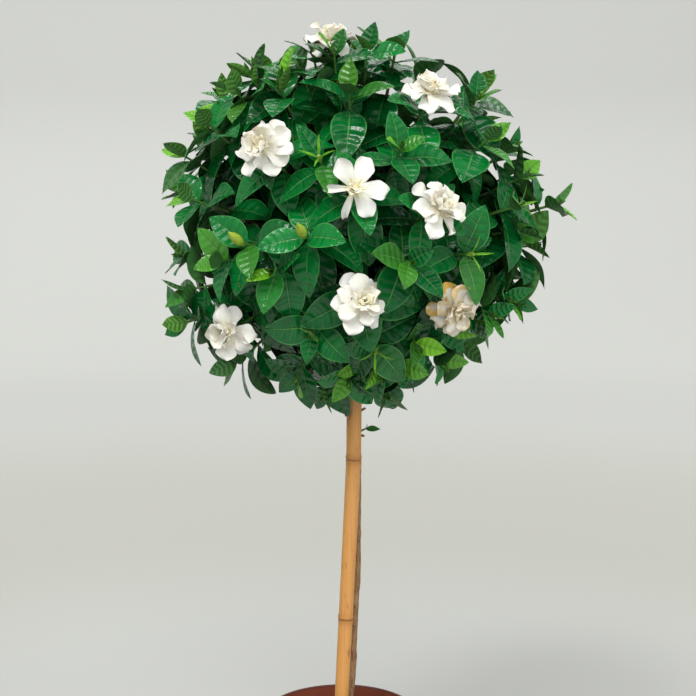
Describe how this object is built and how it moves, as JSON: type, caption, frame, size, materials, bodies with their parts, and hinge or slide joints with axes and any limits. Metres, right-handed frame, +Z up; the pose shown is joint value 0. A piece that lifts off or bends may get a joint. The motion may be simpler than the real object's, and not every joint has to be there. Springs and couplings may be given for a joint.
{
  "type": "potted gardenia",
  "caption": "Gardenia grown as a standard: a round head of glossy leaves and white double blooms on a bare stem tied to a bamboo cane, in a terracotta-coloured pot.",
  "frame": {"origin": "centre of the pot's base, on the surface it stands on", "axes": "+Z up along the stem, -Y towards the viewer of the picture, +X to the viewer's right"},
  "size_m": [0.4309, 0.392, 0.8885],
  "materials": {
    "terracotta": "matt",
    "compost": "crumbly",
    "bamboo": "satin",
    "bark": "rough",
    "tie_band": "matt",
    "leaf": "glossy",
    "petal": "matt"
  },
  "bodies": {
    "root": {"pot": "terracotta", "soil": "compost", "cane": "bamboo", "wood": "bark", "tie": "tie_band", "trunk_sprout": "leaf", "spray_01": "leaf", "spray_02": "leaf", "spray_03": "leaf", "spray_04": "leaf", "spray_05": "leaf", "spray_06": "leaf", "spray_07": "leaf", "spray_08": "leaf", "spray_09": "leaf", "spray_10": "leaf", "spray_11": "leaf", "spray_12": "leaf", "spray_13": "leaf", "spray_14": "leaf", "spray_15": "leaf", "spray_16": "leaf", "spray_17": "leaf", "spray_18": "leaf", "spray_19": "leaf", "spray_20": "leaf", "spray_21": "leaf", "spray_22": "leaf", "spray_23": "leaf", "spray_24": "leaf", "spray_25": "leaf", "spray_26": "leaf", "spray_27": "leaf", "spray_28": "leaf", "spray_29": "leaf", "spray_30": "leaf", "spray_31": "leaf", "spray_32": "leaf", "spray_33": "leaf", "spray_34": "leaf", "spray_35": "leaf", "spray_36": "leaf", "spray_37": "leaf", "spray_38": "leaf", "spray_39": "leaf", "spray_40": "leaf", "spray_41": "leaf", "spray_42": "leaf", "spray_43": "leaf", "bloom_01": "petal", "bloom_02": "petal", "bloom_03": "petal", "bloom_04": "petal", "bloom_05": "petal", "bloom_06": "petal", "bloom_07": "petal", "bloom_08": "petal", "bloom_09": "petal", "bloom_10": "petal", "bloom_11": "petal"}
  },
  "joints": []
}
